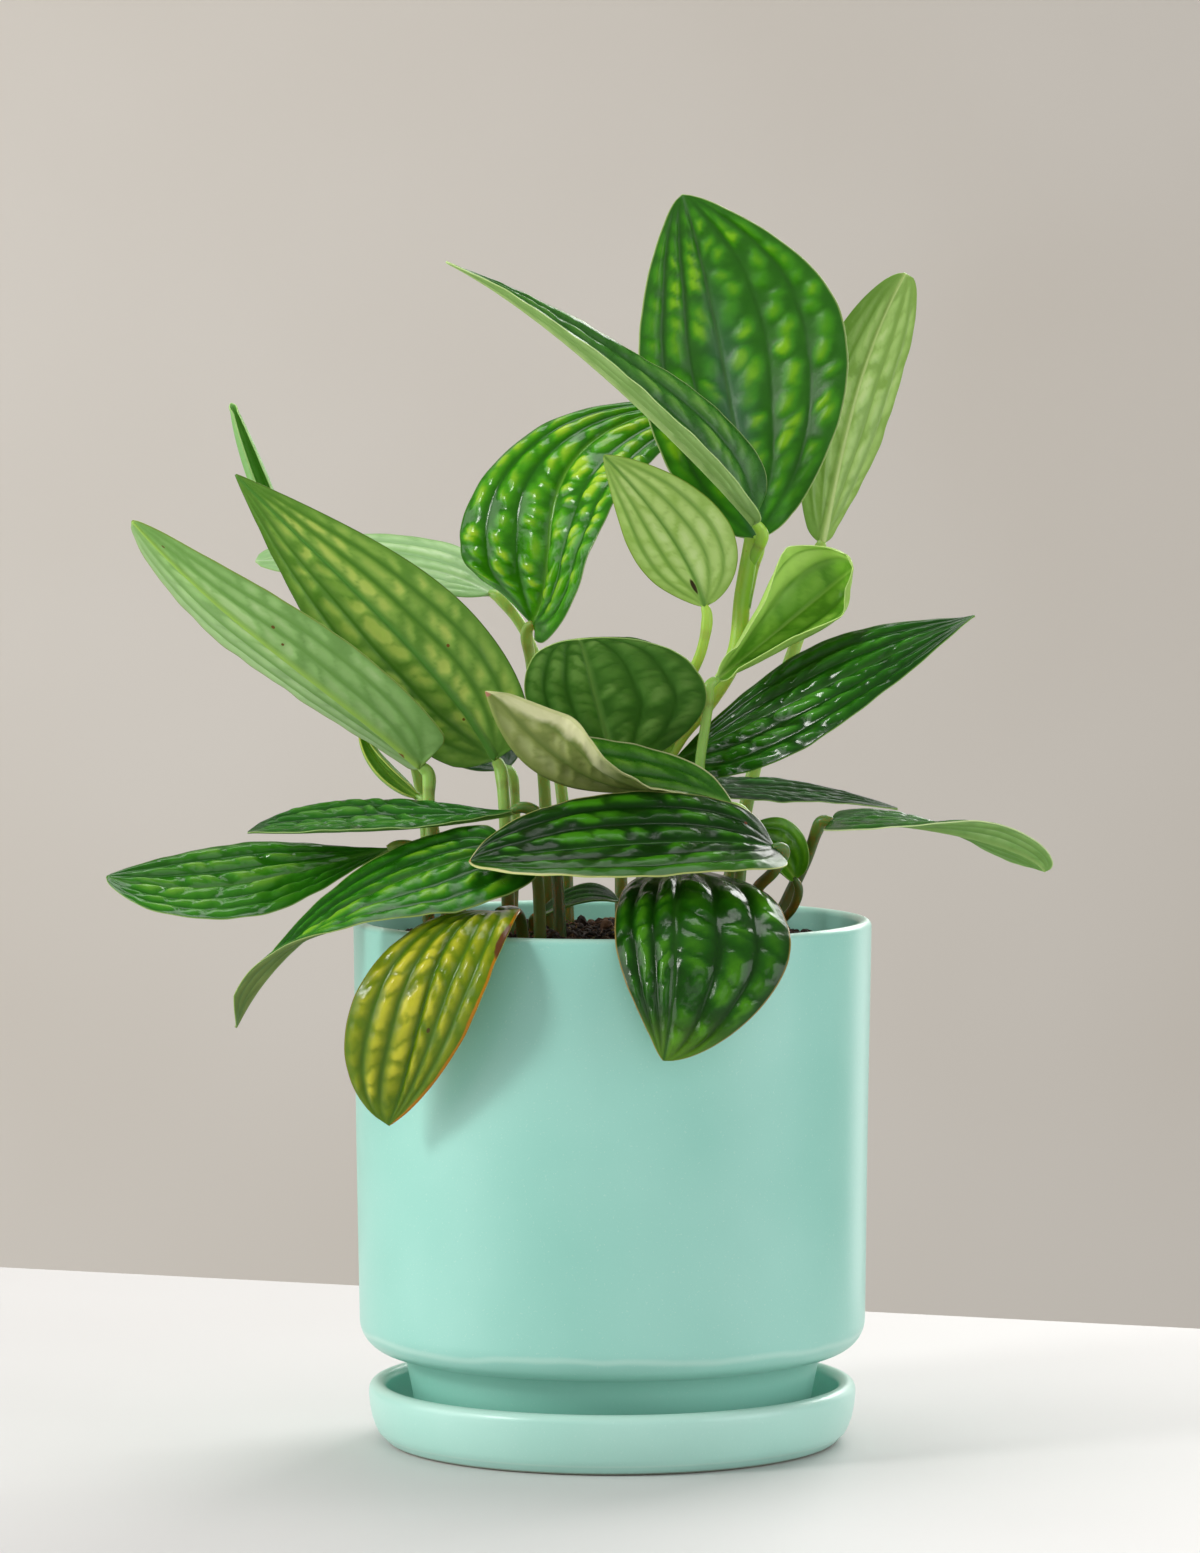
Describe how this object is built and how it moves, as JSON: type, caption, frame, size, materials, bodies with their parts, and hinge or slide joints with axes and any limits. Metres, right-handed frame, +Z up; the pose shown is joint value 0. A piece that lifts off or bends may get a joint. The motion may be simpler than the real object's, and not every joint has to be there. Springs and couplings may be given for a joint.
{
  "type": "potted monstera karstenianum house plant",
  "caption": "Small aroid house plant with upright puckered lance-shaped leaves in a round glazed pot on a shallow saucer.",
  "frame": {"origin": "centre of the saucer's underside, on the surface that it stands on", "axes": "+Z up along the pot's axis, +X to the right and -Y towards the viewer in the picture's view"},
  "size_m": [0.2867, 0.1765, 0.3862],
  "materials": {
    "saucer_glaze": "satin mint glaze, polished highlight on the rim",
    "pot_glaze": "satin mint glaze with a fine speckle",
    "potting_mix": "rough and crumbly",
    "stem_green": "smooth and slightly waxy",
    "leaf_green": "glossy, puckered between the veins",
    "leaf_pale": "matt leaf underside with raised veins",
    "leaf_yellow": "glossy, puckered, with a brown edge"
  },
  "bodies": {
    "root": {"saucer": "saucer_glaze", "pot": "pot_glaze", "soil": "potting_mix", "stem_main": "stem_green", "stem_young": "stem_green", "stem_back_right": "stem_green", "stem_arched": "stem_green", "stem_heart": "stem_green", "stem_left": "stem_green", "stem_left_big": "stem_green", "stem_furled": "stem_green", "stem_back": "stem_green", "stem_behind": "stem_green", "stem_low_mid": "stem_green", "stem_right": "stem_green", "stem_cream": "stem_green", "stem_front": "stem_green", "stem_front_low": "stem_green", "stem_yellow": "stem_green", "stem_low_left": "stem_green", "stem_far_left": "stem_green", "stem_mid_left": "stem_green", "leaf_top": "leaf_green", "leaf_spear": "leaf_green", "leaf_back_right": "leaf_pale", "leaf_arched": "leaf_green", "leaf_small_top": "leaf_pale", "leaf_young": "leaf_pale", "leaf_right": "leaf_green", "leaf_low_back": "leaf_green", "leaf_far_right": "leaf_green", "leaf_small_low": "leaf_green", "leaf_heart": "leaf_green", "leaf_left": "leaf_pale", "leaf_left_big": "leaf_green", "leaf_furled_back": "leaf_pale", "leaf_back": "leaf_pale", "leaf_cream": "leaf_green", "leaf_front": "leaf_green", "leaf_front_low": "leaf_green", "leaf_yellow": "leaf_yellow", "leaf_low_left": "leaf_green", "leaf_far_left": "leaf_green", "leaf_mid_left": "leaf_green", "leaf_furled_left": "leaf_pale", "leaf_behind": "leaf_green", "leaf_low_mid": "leaf_green"}
  },
  "joints": []
}
